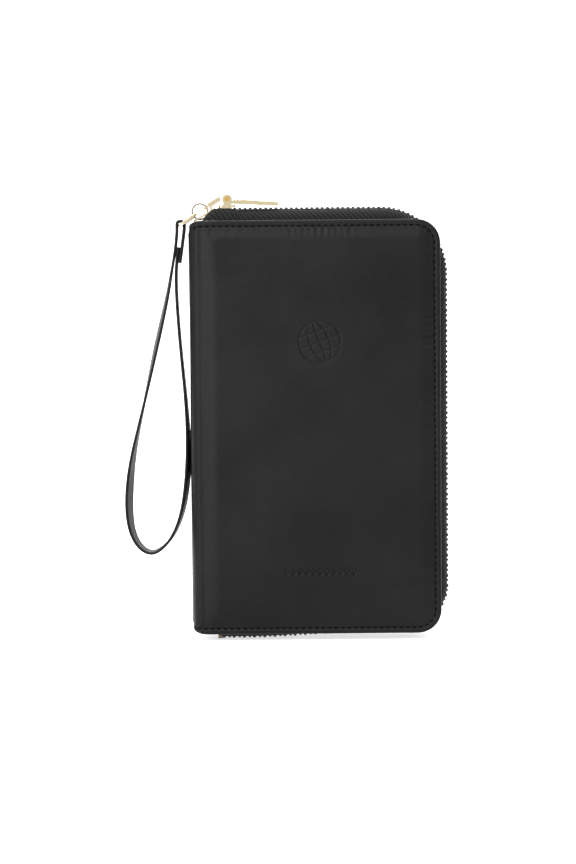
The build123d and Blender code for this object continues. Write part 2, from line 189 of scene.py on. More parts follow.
class Look:
    """A node material with short calls for the nodes that most looks here share."""

    def __init__(self, name):
        self.material = bpy.data.materials.new(name)
        self.material.use_nodes = True
        self.tree = self.material.node_tree
        self.shader = self.tree.nodes["Principled BSDF"]
        self.place = self.tree.nodes.new("ShaderNodeTexCoord")

    def set(self, **values):
        """Sets sockets of the shader, with _ for a space in the socket's name."""
        for key, value in values.items():
            self.shader.inputs[key.replace("_", " ")].default_value = value

    def node(self, kind, inputs, **settings):
        """A node with its settings and its input values or links."""
        made = self.tree.nodes.new(kind)
        for key, value in settings.items():
            setattr(made, key, value)
        for key, value in inputs.items():
            if hasattr(value, "is_output"):
                self.tree.links.new(value, made.inputs[key])
            else:
                made.inputs[key].default_value = value
        return made

    def noise(self, scale, detail):
        """Soft noise, scale cells to a metre."""
        made = self.node("ShaderNodeTexNoise", {
            "Vector": self.place.outputs["Object"], "Scale": scale,
            "Detail": detail, "Roughness": NOISE_ROUGHNESS})
        return made.outputs["Fac"]

    def cells(self, scale, feature):
        """Round or cracked cells, scale of them to a metre."""
        made = self.node("ShaderNodeTexVoronoi", {
            "Vector": self.place.outputs["Object"], "Scale": scale}, feature=feature)
        return made.outputs["Distance"]

    def math(self, operation, a, b=0.0, c=0.0):
        """One step of arithmetic."""
        made = self.node("ShaderNodeMath", {0: a, 1: b, 2: c}, operation=operation)
        return made.outputs[0]

    def remap(self, value, low, high, to_low=0.0, to_high=1.0):
        """The range low to high stretched over another range."""
        made = self.node("ShaderNodeMapRange", {
            "Value": value, "From Min": low, "From Max": high,
            "To Min": to_low, "To Max": to_high})
        return made.outputs[0]

    def colours(self, factor, a, b):
        """The base colour, from a to b as the factor goes from 0 to 1."""
        made = self.node("ShaderNodeMix", {0: factor, 6: a, 7: b}, data_type="RGBA")
        self.tree.links.new(made.outputs[2], self.shader.inputs["Base Color"])

    def rough(self, value):
        """Links the roughness."""
        self.tree.links.new(value, self.shader.inputs["Roughness"])

    def bump(self, height, distance, strength=1.0):
        """Fine relief of the surface, distance deep."""
        made = self.node("ShaderNodeBump", {
            "Height": height, "Distance": distance, "Strength": strength})
        self.tree.links.new(made.outputs[0], self.shader.inputs["Normal"])


def grained_leather(name, dark, light, grain, depth, roughness):
    """Pebbled leather: round grains, pores between them, soft patches of shine."""
    look = Look(name)
    warp = look.noise(grain * 0.35, 2.0)
    pebbles = look.cells(grain, "SMOOTH_F1")
    creases = look.cells(grain * 0.62, "DISTANCE_TO_EDGE")
    pores = look.noise(grain * 3.2, 2.0)
    patches = look.noise(SHINE_PATCHES, 4.0)
    crease_cut = look.remap(creases, 0.0, 0.12)
    height = look.math("MULTIPLY_ADD", pebbles, -0.9, look.math("MULTIPLY", warp, 0.9))
    height = look.math("MULTIPLY_ADD", crease_cut, 0.35, height)
    height = look.math("MULTIPLY_ADD", pores, 0.25, height)
    look.bump(height, depth)
    look.colours(look.remap(patches, 0.35, 0.65), dark, light)
    dullness = look.remap(patches, 0.3, 0.7, roughness - 0.04, roughness + 0.06)
    look.rough(look.math("MULTIPLY_ADD", pores, 0.16, dullness))
    look.set(Specular_IOR_Level=0.11)
    return look.material


def woven(name, dark, light, pitch, slope, depth):
    """Woven tape: diagonal ribs and finer rows along and across it, with stray fibres."""
    look = Look(name)
    parts = look.node("ShaderNodeSeparateXYZ", {0: look.place.outputs["UV"]})
    along = look.math("MULTIPLY_ADD", parts.outputs[1], slope, parts.outputs[0])
    rib = look.math("SINE", look.math("MULTIPLY", along, math.tau / pitch))
    across = look.math("SINE", look.math("MULTIPLY", parts.outputs[0], math.tau / WEFT_PITCH))
    rows = look.math("SINE", look.math("MULTIPLY", parts.outputs[1], math.tau / WARP_PITCH))
    fibres = look.noise(2600.0, 3.0)
    height = look.math("MULTIPLY_ADD", rib, 0.6, look.math("MULTIPLY", across, 0.12))
    height = look.math("MULTIPLY_ADD", rows, 0.12, height)
    height = look.math("MULTIPLY_ADD", fibres, 0.5, height)
    look.bump(height, depth)
    look.colours(look.remap(rib, -0.6, 1.0), dark, light)
    look.set(Roughness=0.75, Specular_IOR_Level=0.12)
    return look.material


def twill(name, dark, light):
    """Fine lining cloth, the same from every side."""
    look = Look(name)
    parts = look.node("ShaderNodeSeparateXYZ", {0: look.place.outputs["Object"]})
    along = look.math("ADD", parts.outputs[2], parts.outputs[1])
    along = look.math("ADD", parts.outputs[0], along)
    rib = look.math("SINE", look.math("MULTIPLY", along, math.tau / TWILL_PITCH))
    fibres = look.noise(2200.0, 2.0)
    look.bump(look.math("MULTIPLY_ADD", fibres, 0.6, rib), 0.06 * MM, 0.8)
    look.colours(look.remap(rib, -1.0, 1.0), dark, light)
    look.set(Roughness=0.85, Sheen_Weight=0.2)
    return look.material


def plated_metal(name, base, roughness):
    """Plated metal with hairline wear and dull smudges."""
    look = Look(name)
    hair = look.noise(1400.0, 4.0)
    smudge = look.noise(220.0, 3.0)
    look.bump(hair, 0.01 * MM, 0.35)
    darker = tuple(channel * 0.86 for channel in base[:3]) + (1,)
    look.colours(look.remap(smudge, 0.35, 0.7), base, darker)
    look.rough(look.remap(smudge, 0.3, 0.7, roughness, roughness + 0.1))
    look.set(Metallic=1.0)
    return look.material


def thread_look(name, value):
    """Twisted waxed thread."""
    look = Look(name)
    strands = look.noise(3500.0, 2.0)
    look.bump(strands, 0.05 * MM, 0.7)
    look.colours(look.remap(strands, 0.35, 0.65), bright(value), bright(value * 2.2))
    look.set(Roughness=0.85, Specular_IOR_Level=0.05)
    return look.material


def moulded(name, value, roughness):
    """Moulded nylon, such as the zip's coil."""
    look = Look(name)
    flow = look.noise(900.0, 3.0)
    look.bump(flow, 0.02 * MM, 0.5)
    look.colours(look.remap(flow, 0.35, 0.65), bright(value), bright(value * 1.5))
    look.rough(look.remap(flow, 0.3, 0.7, roughness - 0.05, roughness + 0.08))
    return look.material


def fibrous(name, dark, light):
    """Grey board or foam: matt and speckled."""
    look = Look(name)
    speckle = look.noise(1500.0, 4.0)
    look.bump(speckle, 0.06 * MM, 0.6)
    look.colours(look.remap(speckle, 0.35, 0.65), dark, light)
    look.set(Roughness=0.9)
    return look.material


cover_leather = grained_leather("cover_leather", bright(0.0035), bright(0.0058),
                                grain=950.0, depth=0.1 * MM, roughness=0.38)
inner_leather = grained_leather("inner_leather", bright(0.008), bright(0.012),
                                grain=1500.0, depth=0.08 * MM, roughness=0.48)
strap_leather = grained_leather("strap_leather", bright(0.004), bright(0.007),
                                grain=1300.0, depth=0.07 * MM, roughness=0.36)
lining_cloth = twill("lining_cloth", bright(0.028), bright(0.048))
tape_weave = woven("tape_weave", bright(0.004), bright(0.014),
                   pitch=2.55 * MM, slope=0.9, depth=0.22 * MM)
coil_nylon = moulded("coil_nylon", 0.006, 0.38)
cover_thread = thread_look("cover_thread", 0.0006)
gold = plated_metal("gold", (0.93, 0.80, 0.53, 1), 0.16)
deep_gold = plated_metal("deep_gold", (0.83, 0.55, 0.16, 1), 0.2)
# Metal painted dark: the dark colour stands in for the dark reflections of the split ring's thin
# wire, and the zip stops share it.
reflection_darkened_metal = plated_metal("reflection_darkened_metal", (0.20, 0.17, 0.12, 1), 0.25)
foam_look = fibrous("foam_look", bright(0.10), bright(0.16))
board_look = fibrous("board_look", (0.30, 0.27, 0.23, 1), (0.42, 0.38, 0.33, 1))


def paint(piece, material):
    """Gives a piece one material."""
    piece.data.materials.clear()
    piece.data.materials.append(material)
    return piece


# ---- wrist strap ----------------------------------------------------------------------------
# The end flap, the fold over the D-ring's bar, the hanging loop, and the other end.
strap_route = [
    (-70.2, 191.5), (-69.2, 198.5), (-68.3, 205.0), (-67.8, 209.0), (-67.7, 212.6),
    (-71.6, 212.6), (-71.5, 209.0), (-71.7, 205.5), (-72.4, 199.0), (-74.2, 189.0),
    (-76.5, 176.0), (-80.0, 161.0), (-84.0, 144.0), (-88.0, 126.0), (-92.0, 109.0),
    (-95.5, 93.0), (-97.3, 78.5), (-97.8, 66.0), (-96.5, 55.0), (-92.5, 47.0), (-86.5, 43.5),
    (-80.5, 46.5), (-75.0, 53.0), (-70.8, 63.0), (-68.3, 75.5), (-67.1, 90.0), (-67.1, 107.0),
    (-68.2, 125.0), (-69.9, 143.0), (-71.2, 159.0), (-72.0, 172.5), (-72.3, 184.0),
    (-71.8, 192.5), (-70.75, 199.5)]
STRAP_WIDTH = 9 * MM
STRAP_THICKNESS = 1.4 * MM
STRAP_FLAT_SHARE = 0.8
STRAP_CROWN = 1.06
STRAP_TURNS = [   # turns of the band about its own line: degrees, share of its length, spread
    (19, 0.46, 0.08), (-12, 0.67, 0.09), (-12, 0.23, 0.09)]


def spline_points(route, resolution):
    """Points along the smooth NURBS line that the route's points control."""
    curve = bpy.data.curves.new("route", "CURVE")
    curve.dimensions = "3D"
    spline = curve.splines.new("NURBS")
    spline.points.add(len(route) - 1)
    for point, (x, z) in zip(spline.points, route):
        point.co = (x * MM, 0, z * MM, 1)
    spline.order_u = 3
    spline.use_endpoint_u = True
    spline.resolution_u = resolution
    holder = bpy.data.objects.new("route", curve)
    mesh = bpy.data.meshes.new_from_object(holder)
    points = np.array([vertex.co for vertex in mesh.vertices])
    bpy.data.objects.remove(holder)
    return points


def strap_section():
    """The band's outline with round edges and slightly crowned faces, as (across, out) pairs."""
    half_width = STRAP_WIDTH / 2
    half_thickness = STRAP_THICKNESS / 2
    right = [(half_width - half_thickness * (1 - math.cos(turn)), half_thickness * math.sin(turn))
             for turn in np.linspace(-math.pi / 2, math.pi / 2, 9)]
    flat = STRAP_FLAT_SHARE * half_width
    top = [(across, half_thickness * STRAP_CROWN) for across in np.linspace(flat, -flat, 9)]
    left = [(-across, -out) for across, out in right]
    bottom = [(-across, -out) for across, out in top]
    return right + top + left + bottom


def make_strap():
    """The leather band, turned a little about its own line where it hangs."""
    points = spline_points(strap_route, resolution=8)
    tangents = np.gradient(points, axis=0)
    tangents /= np.linalg.norm(tangents, axis=1)[:, None]
    lengths = lengths_along(points)
    share = lengths / lengths[-1]
    angles = sum(math.radians(turn) * bell(share - place, spread)
                 for turn, place, spread in STRAP_TURNS)
    section = strap_section()
    side = np.array([0.0, 1.0, 0.0])
    rings = []
    uvs = []
    for point, tangent, angle, length in zip(points, tangents, angles, lengths):
        out = np.cross(tangent, side)
        wide = side * math.cos(angle) + out * math.sin(angle)
        thick = np.cross(tangent, wide)
        rings.append([point + wide * a + thick * b for a, b in section])
        uvs += [(length, a) for a, b in section]
    vertices, faces = tube(rings)
    piece = mesh_piece("wrist_strap", vertices, faces, uvs=uvs)
    paint(piece, strap_leather)
    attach(piece, "strap")
    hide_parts("strap_band")


make_strap()

# ---- padded covers --------------------------------------------------------------------------
ARC_LENGTH = SPINE_CORNER * math.pi / 2
FLAT_HALF = HALF - SPINE_CORNER
CREASE_S = FLAT_HALF + ARC_LENGTH
END_DROP = 2.0 * MM
END_DROP_S = 0.4 * FLAT_HALF
EDGE_ROLL = 1.3 * MM
INNER_ROLL = 0.9 * MM
COVER_DEPTH = 3.5 * MM
SPINE_DEPTH = 2.9 * MM
STITCH_INSET = 3.0 * MM
STITCH_PITCH = 3.3 * MM
STITCH_LENGTH = 2.3 * MM
THREAD_RADIUS = 0.33 * MM
EMBLEM_X = 0.0
EMBLEM_Z = COVER_TOP - 61 * MM
EMBLEM_RADIUS = 10.5 * MM
EMBLEM_TILT = math.radians(20)
MERIDIAN_SHARE = 0.46
ORNAMENT_X = -0.3 * MM
ORNAMENT_Z = COVER_BOTTOM + 32 * MM
ORNAMENT_PITCH = 3.4 * MM
ORNAMENT_COUNT = 11
LOZENGE_HALF_WIDTH = 1.15 * MM
LOZENGE_HALF_HEIGHT = 1.6 * MM
DEBOSS = 0.5 * MM
EMBLEM_STROKE = 0.42 * MM
ORNAMENT_STROKE = 0.34 * MM
# Relief of the leather: heights and depths, and the distances over which they build up.
GROOVE_DEPTH = 0.5 * MM
GROOVE_WIDTH = 0.6 * MM
CREASE_DEPTH = 0.45 * MM
CREASE_SHIFT = 0.6 * MM
CREASE_WIDTH = 1.5 * MM
COVER_RISE = 9 * MM
PUFF_HEIGHT = 1.35 * MM
PUFF_RISE = 7.5 * MM
CROWN_HEIGHT = 0.55 * MM
CROWN_START = 6 * MM
CROWN_RISE = 45 * MM
SPINE_CROWN = 0.7 * MM
SPINE_RISE = 5 * MM
WAVE_HEIGHT = 0.1 * MM
WAVE_START = 5 * MM
WAVE_RISE = 20 * MM
PUCKER_HEIGHT = 0.11 * MM
PUCKER_START = 1.5 * MM
PUCKER_REACH = 4.5 * MM
# Mesh steps of the leather shells.
RIM_STEP = 0.3 * MM
MARK_STEP = 0.32 * MM
PLAIN_STEP = 2.5 * MM
COARSE_STEP = 2.2 * MM
ROUTE_STEP = 0.2 * MM


def end_drop(s):
    """How far the leather's top and bottom draw in where it goes round the spine."""
    return END_DROP * smoothstep((CREASE_S - s) / (CREASE_S - END_DROP_S))


def edge_distance(s, z):
    """How far inside the free outline a point lies, s along the leather and z up."""
    x = CREASE_X + (s - CREASE_S)
    beyond_x = x - (COVER_RIGHT - COVER_CORNER)
    reach = COVER_HEIGHT / 2 - end_drop(s) - np.abs(z - MID_Z)
    beyond_z = COVER_CORNER - reach
    straight = np.minimum(COVER_RIGHT - x, reach)
    corner = COVER_CORNER - np.hypot(beyond_x, beyond_z)
    return np.where((beyond_x > 0) & (beyond_z > 0), corner, straight)


def stroke(distance, width):
    """1 on a drawn line, falling off softly at its sides."""
    return smoothstep((width - np.abs(distance)) / (0.5 * width) + 0.5)


def emblem(x, z):
    """A tilted globe drawn in lines: rim, three meridians and three parallels."""
    across = (x - EMBLEM_X) / EMBLEM_RADIUS
    up = (z - EMBLEM_Z) / EMBLEM_RADIUS
    a = across * math.cos(EMBLEM_TILT) + up * math.sin(EMBLEM_TILT)
    b = up * math.cos(EMBLEM_TILT) - across * math.sin(EMBLEM_TILT)
    radius = np.hypot(a, b)
    drawn = stroke((radius - 1.0) * EMBLEM_RADIUS, EMBLEM_STROKE)
    side_meridians = np.abs(a) - MERIDIAN_SHARE * np.sqrt(np.clip(1 - b * b, 0, 1))
    for line in (a, side_meridians, b, b - 0.5, b + 0.5):
        lined = stroke(line * EMBLEM_RADIUS, EMBLEM_STROKE)
        drawn = np.maximum(drawn, np.where(radius < 1.0, lined, 0))
    return drawn


def ornament(x, z):
    """A plain row of small lozenges."""
    drawn = np.zeros_like(x)
    first = ORNAMENT_X - ORNAMENT_PITCH * (ORNAMENT_COUNT - 1) / 2
    for index in range(ORNAMENT_COUNT):
        a = np.abs(x - first - index * ORNAMENT_PITCH)
        b = np.abs(z - ORNAMENT_Z)
        lozenge = (a / LOZENGE_HALF_WIDTH + b / LOZENGE_HALF_HEIGHT - 1) * MM
        drawn = np.maximum(drawn, stroke(lozenge, ORNAMENT_STROKE))
    return drawn


def padding(s, d):
    """The puff of the foam inside the stitches, the cover's crown, and the spine's."""
    on_cover = smoothstep((s - CREASE_S + CREASE_WIDTH) / COVER_RISE)
    puff = PUFF_HEIGHT * smoothstep((d - STITCH_INSET) / PUFF_RISE) * on_cover
    crown = CROWN_HEIGHT * smoothstep((d - CROWN_START) / CROWN_RISE) * on_cover
    spine = SPINE_CROWN * np.clip(1 - (s / FLAT_HALF) ** 2, 0, 1) * smoothstep(d / SPINE_RISE)
    return puff + crown + spine


def unevenness(x, z, d):
    """Soft waves over the whole leather, and puckers where the stitches pull it.

    The factors of x, z and along are in radians to a metre.
    """
    waves = WAVE_HEIGHT * (np.sin(x * 61 + z * 23) + np.sin(z * 47 - x * 35 + 1.3)) * \
        smoothstep((d - WAVE_START) / WAVE_RISE)
    pulled = smoothstep((d - STITCH_INSET) / PUCKER_START) * bell(d - STITCH_INSET, PUCKER_REACH)
    along = np.where(np.abs(z - MID_Z) > COVER_HEIGHT / 2 - COVER_CORNER, x, z)
    puckers = PUCKER_HEIGHT * pulled * (np.sin(along * math.tau / STITCH_PITCH)
                                        + 0.8 * np.sin(along * 1130 + 2 * np.sin(along * 310)))
    return waves + puckers


def rolled(d, roll):
    """How far a quarter-round edge of one radius falls away near the outline."""
    inward = np.clip(roll - d, 0, roll)
    return roll - np.sqrt(np.clip(roll ** 2 - inward ** 2, 0, None))


def surface_height(s, z, marked):
    """How far the leather stands out of the flat wrapped sheet."""
    d = edge_distance(s, z)
    x = CREASE_X + (s - CREASE_S)
    groove = GROOVE_DEPTH * bell(d - STITCH_INSET, GROOVE_WIDTH)
    crease = CREASE_DEPTH * bell(s - CREASE_S + CREASE_SHIFT, CREASE_WIDTH)
    height = padding(s, d) + unevenness(x, z, d) - rolled(d, EDGE_ROLL) - groove - crease
    if marked:
        height = height - DEBOSS * np.maximum(emblem(x, z), ornament(x, z))
    return height


def wrapped_point(side, s, z, height):
    """A point of the leather, height outside the flat sheet. side is -1 for the front."""
    turn = np.clip((s - FLAT_HALF) / SPINE_CORNER, 0, math.pi / 2)
    out_x = -np.cos(turn)
    out_y = side * np.sin(turn)
    x = np.where(s < FLAT_HALF, SPINE_X, np.where(
        s < CREASE_S, CREASE_X - SPINE_CORNER * np.cos(turn), CREASE_X + s - CREASE_S))
    y = np.where(s < FLAT_HALF, side * s, side * (FLAT_HALF + SPINE_CORNER * np.sin(turn)))
    return np.stack([x + out_x * height, y + out_y * height, z], axis=-1)


def fine_steps(stops):
    """Positions through (position, step) stops: each stretch uses the step of its start."""
    positions = []
    for (low, step), (high, _) in zip(stops, stops[1:]):
        count = max(1, round((high - low) / step))
        positions += list(np.linspace(low, high, count, endpoint=False))
    return np.array(positions + [stops[-1][0]])


def shell_rows(mark_step):
    """Heights above the covers' bottom of the shell's rows, close at the rims and marks."""
    ornament_row = ORNAMENT_Z - COVER_BOTTOM
    emblem_row = EMBLEM_Z - COVER_BOTTOM
    return fine_steps([
        (0, RIM_STEP), (6 * MM, 1.0 * MM), (14 * MM, COARSE_STEP),
        (ornament_row - 3 * MM, mark_step), (ornament_row + 3 * MM, COARSE_STEP),
        (emblem_row - 12 * MM, mark_step), (emblem_row + 12 * MM, 2.0 * MM),
        (COVER_HEIGHT - 14 * MM, 1.0 * MM), (COVER_HEIGHT - 6 * MM, RIM_STEP),
        (COVER_HEIGHT, 1)])


def shell_grid(first_s, mark_step):
    """Places (s, z) of the shell's points, drawn to the round free outline on the right."""
    inner_end = COVER_RIGHT - COVER_CORNER - 3 * MM - CREASE_X + CREASE_S
    columns = fine_steps([
        (first_s, 1.3 * MM), (FLAT_HALF, 0.8 * MM), (CREASE_S + 8 * MM, COARSE_STEP),
        (CREASE_S - CREASE_X - 20 * MM, mark_step),
        (CREASE_S - CREASE_X + 20 * MM, COARSE_STEP), (inner_end, 1)])
    tail = 1 - fine_steps([(0, 0.02), (0.35, 0.07), (1, 1)])[::-1]
    z = COVER_BOTTOM + shell_rows(mark_step)
    reach = np.clip(COVER_CORNER - (COVER_HEIGHT / 2 - np.abs(z - MID_Z)), 0, COVER_CORNER)
    right = COVER_RIGHT - COVER_CORNER + np.sqrt(COVER_CORNER ** 2 - reach ** 2)
    right_s = right - CREASE_X + CREASE_S
    s_grid = np.concatenate([np.repeat(columns[None, :], len(z), 0),
                             inner_end + (right_s - inner_end)[:, None] * tail[None, 1:]], 1)
    squeeze = 1 - 2 * end_drop(s_grid) / COVER_HEIGHT
    return s_grid, MID_Z + (z[:, None] - MID_Z) * squeeze


def rim_faces(rows, columns):
    """Quads that join the outer and the inner grid all round."""
    loop = list(range(columns))
    loop += [row * columns + columns - 1 for row in range(1, rows)]
    loop += [(rows - 1) * columns + column for column in range(columns - 2, -1, -1)]
    loop += [row * columns for row in range(rows - 2, 0, -1)]
    offset = rows * columns
    return [(here, there, there + offset, here + offset)
            for here, there in zip(loop, loop[1:] + loop[:1])]


def make_shell(side, name, first_s, marked):
    """One cover with its share of the spine: a closed padded leather shell."""
    s_grid, z_grid = shell_grid(first_s, MARK_STEP if marked else PLAIN_STEP)
    d = np.clip(edge_distance(s_grid, z_grid), 0, None)
    outer = wrapped_point(side, s_grid, z_grid, surface_height(s_grid, z_grid, marked))
    depth = SPINE_DEPTH + (COVER_DEPTH - SPINE_DEPTH) * smoothstep(
        (s_grid - FLAT_HALF) / ARC_LENGTH)
    inner = wrapped_point(side, s_grid, z_grid, rolled(d, INNER_ROLL) - depth)
    vertices = np.concatenate([outer.reshape(-1, 3), inner.reshape(-1, 3)])
    uvs = np.stack([s_grid, z_grid], -1).reshape(-1, 2)
    uvs = [tuple(uv) for uv in np.concatenate([uvs, uvs])]
    rows, columns = s_grid.shape
    faces = grid_faces(rows, columns) + grid_faces(rows, columns, rows * columns)
    faces += rim_faces(rows, columns)
    piece = mesh_piece(name, vertices, faces, uvs=uvs)
    paint(piece, cover_leather)
    return piece


def blend_at_spine(piece):
    """Bakes the piece's placement into its mesh points."""
    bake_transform(piece)


def stitch_route(first_s):
    """Close (s, z) places along the stitch line, round the free outline."""
    radius = COVER_CORNER - STITCH_INSET
    corner_s = COVER_RIGHT - COVER_CORNER - CREASE_X + CREASE_S
    top = COVER_TOP - STITCH_INSET
    bottom = COVER_BOTTOM + STITCH_INSET
    quarter = np.linspace(0, math.pi / 2, 60)
    lines = [(s, top) for s in np.arange(first_s, corner_s, ROUTE_STEP)]
    lines += [(corner_s + radius * math.sin(turn), top - radius + radius * math.cos(turn))
              for turn in quarter]
    lines += [(corner_s + radius, z)
              for z in np.arange(top - radius, bottom + radius, -ROUTE_STEP)]
    lines += [(corner_s + radius * math.cos(turn), bottom + radius - radius * math.sin(turn))
              for turn in quarter]
    lines += [(s, bottom) for s in np.arange(corner_s, first_s, -ROUTE_STEP)]
    lines = np.array(lines)
    lines[:, 1] -= np.sign(lines[:, 1] - MID_Z) * end_drop(lines[:, 0])
    return lines


def thread_run(points, normals):
    """Points and faces of a row of stitches over a dense line of points."""
    lengths = lengths_along(points)
    vertices = []
    faces = []
    for start in np.arange(STITCH_PITCH * 0.3, lengths[-1] - STITCH_LENGTH, STITCH_PITCH):
        rings = []
        for share in np.linspace(0, 1, 7):
            place = start + share * STITCH_LENGTH
            centre = interpolated(place, lengths, points)
            normal = interpolated(place, lengths, normals)
            tangent = interpolated(place + ROUTE_STEP, lengths, points) - centre
            tangent /= np.linalg.norm(tangent)
            side = np.cross(normal, tangent)
            arch = math.sin(share * math.pi)
            radius = THREAD_RADIUS * (0.45 + 0.55 * arch ** 0.5)
            middle = centre + normal * THREAD_RADIUS * (1.1 * arch - 0.5)
            rings.append([middle + (side * math.cos(angle) + normal * math.sin(angle)) * radius
                          for angle in AROUND])
        add_tube(vertices, faces, rings)
    return vertices, faces


def make_stitches(side, name, first_s, marked):
    """The row of stitches round one cover."""
    route = stitch_route(first_s)
    s, z = route[:, 0], route[:, 1]
    height = surface_height(s, z, marked)
    points = wrapped_point(side, s, z, height)
    normals = wrapped_point(side, s, z, height + MM) - points
    normals /= np.linalg.norm(normals, axis=1)[:, None]
    vertices, faces = thread_run(points, normals)
    piece = mesh_piece(name, vertices, faces)
    paint(piece, cover_thread)
    blend_at_spine(piece)


SEAM_S = FLAT_HALF - 0.5 * MM    # the back's leather overlaps the spine's by half a millimetre
front_shell = make_shell(-1, "front_cover_shell", -FLAT_HALF, True)
blend_at_spine(front_shell)
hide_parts("front_leather", "front_foam", "front_board", "spine_leather",
            "spine_board", "spine_foam")
back_shell = make_shell(1, "back_cover_shell", SEAM_S, False)
blend_at_spine(back_shell)
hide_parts("back_leather", "back_foam", "back_board")
make_stitches(-1, "front_stitches", -FLAT_HALF, True)
make_stitches(1, "back_stitches", FLAT_HALF, False)

# ---- zip tapes and coil ---------------------------------------------------------------------
TOP_CORNER = 34 * MM
BOTTOM_CORNER = 26 * MM
SLOPE_START = -61.0 * MM     # the zip runs down to the spine between these two
SLOPE_END = -51.5 * MM
SPINE_END_FALL = 2.6 * MM
SPINE_END_REACH = 3.4 * MM
TUCK_START = -36 * MM        # the bottom run is tucked in from here to the right
TUCK_REACH = 50 * MM
TUCK_DEPTH = 1.9 * MM
LIFT_START = -59 * MM        # the tape stands up beside the slider between these two
LIFT_END = -37 * MM
LIFT_HEIGHT = 1.5 * MM
TAPE_HALF_THICKNESS = 0.24 * MM
FLANGE_DEPTH = 12 * MM
WAVE_FROM = 2.4 * MM         # the coil holds the tape's edge flat down to this depth
TOOTH_PITCH = 5.2 * MM
TOOTH_RADIUS = 0.5 * MM
TOOTH_FLATNESS = 1.3
CORD_DEPTH = 1.2 * MM
CORD_OUT = 1.1 * MM
CORD_RADIUS = 0.4 * MM
CORD_FLATNESS = 1.6
# The tape's profile as (depth below the ridge, distance out from the middle), in millimetres.
TAPE_LINE = [
    (1.5, 0.45), (1.5, 1.5), (1.75, 2.6), (2.02, 4.3), (2.3, 5.4), (2.9, 6.3), (3.7, 7.2),
    (4.7, 8.0), (5.9, 8.6), (7.2, 8.95), (9.0, 9.2), (12.0, 9.25)]
# One loop of the coil as (depth, distance out, distance ahead along the ridge), in millimetres.
TOOTH_LINE = [
    (1.1, -1.1, 0.10), (0.62, -0.9, 0.05), (0.5, 0.0, 0.0), (0.5, 1.1, 0.18),
    (0.6, 1.85, 0.36), (1.05, 2.2, 0.46), (1.6, 1.9, 0.52)]


def ridge_route():
    """The ridge from the spine's top round to its bottom: rows (x, z, inward x, inward z)."""
    top_x = RIDGE_RIGHT - TOP_CORNER
    top_z = RIDGE_TOP - TOP_CORNER
    bottom_x = RIDGE_RIGHT - BOTTOM_CORNER
    bottom_z = RIDGE_BOTTOM + BOTTOM_CORNER
    stations = [(x, RIDGE_TOP, 0, -1) for x in np.arange(SLOPE_START, top_x, 0.6 * MM)]
    for turn in np.linspace(0, math.pi / 2, 70):
        out, up = math.sin(turn), math.cos(turn)
        stations.append((top_x + TOP_CORNER * out, top_z + TOP_CORNER * up, -out, -up))
    stations += [(RIDGE_RIGHT, z, -1, 0) for z in np.arange(top_z, bottom_z, -0.8 * MM)[1:]]
    for turn in np.linspace(0, math.pi / 2, 55):
        out, down = math.cos(turn), math.sin(turn)
        stations.append((bottom_x + BOTTOM_CORNER * out, bottom_z - BOTTOM_CORNER * down,
                         -out, down))
    stations += [(x, RIDGE_BOTTOM, 0, 1)
                 for x in np.arange(bottom_x, ZIP_START_X - 1.2 * MM, -0.6 * MM)[1:]]
    return np.array(stations)


def ridge_falls(x, z):
    """How far the ridge sinks: on its slope to the spine, at its bottom end, in its tuck."""
    slope = smoothstep((SLOPE_END - x) / (SLOPE_END - SLOPE_START))
    end = smoothstep((ZIP_START_X + 2 * MM - x) / SPINE_END_REACH)
    tuck = smoothstep((x - TUCK_START) / TUCK_REACH) * smoothstep(
        1 - (z - RIDGE_BOTTOM) / BOTTOM_CORNER)
    rise = RIDGE_TOP - COVER_TOP
    return np.where(z > MID_Z, rise * slope, SPINE_END_FALL * end + TUCK_DEPTH * tuck)


def tape_lifts(x, z):
    """How far the tape stands up beside the slider, on the top run only."""
    rising = smoothstep((x - LIFT_START) / (4 * MM))
    falling = smoothstep((LIFT_END - x) / (8 * MM))
    return LIFT_HEIGHT * rising * falling * (z > MID_Z)


stations = ridge_route()
station_lengths = lengths_along(stations[:, :2])
falls = ridge_falls(stations[:, 0], stations[:, 1])
lifts = tape_lifts(stations[:, 0], stations[:, 1])


def make_tape(side, name, body, node):
    """One woven tape, from the coil over its bulge to the flange under the cover."""
    profile = np.array(TAPE_LINE) * MM
    away = np.gradient(profile, axis=0)
    away /= np.linalg.norm(away, axis=1)[:, None]
    thick = np.stack([-away[:, 1], away[:, 0]], -1) * TAPE_HALF_THICKNESS
    loop = np.concatenate([profile + thick, (profile - thick)[::-1]])
    widths = lengths_along(profile)
    loop_widths = np.concatenate([widths, widths[::-1]])
    rings = []
    uvs = []
    for (x, z, in_x, in_z), fall, lift, length in zip(stations, falls, lifts, station_lengths):
        shrink = 1 - fall / FLANGE_DEPTH
        wave = 0.06 * MM * math.sin(length * 260) + 0.05 * MM * math.sin(length * 97 + side)
        ring = []
        for depth, out in loop:
            waved = wave * smoothstep((depth - WAVE_FROM) / (3 * MM))
            lifted = lift * smoothstep((out - 3.6 * MM) / (1.2 * MM)) * smoothstep(
                (9 * MM - depth) / (5 * MM))
            inside = fall + depth * shrink + waved - lifted
            ring.append((x + in_x * inside, side * out, z + in_z * inside))
        rings.append(ring)
        uvs += [(length, side * width) for width in loop_widths]
    vertices, faces = tube(rings)
    piece = mesh_piece(name, vertices, faces, uvs=uvs)
    paint(piece, tape_weave)
    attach(piece, body)
    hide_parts(node)


def coil_cord(side):
    """The cord that runs inside the coil's loops."""
    rings = []
    for (x, z, in_x, in_z), fall in zip(stations, falls):
        depths = CORD_DEPTH + fall + CORD_RADIUS * np.sin(AROUND)
        outs = side * (CORD_OUT + CORD_RADIUS * CORD_FLATNESS * np.cos(AROUND))
        rings.append([(x + in_x * depth, out, z + in_z * depth)
                      for depth, out in zip(depths, outs)])
    return tube(rings)


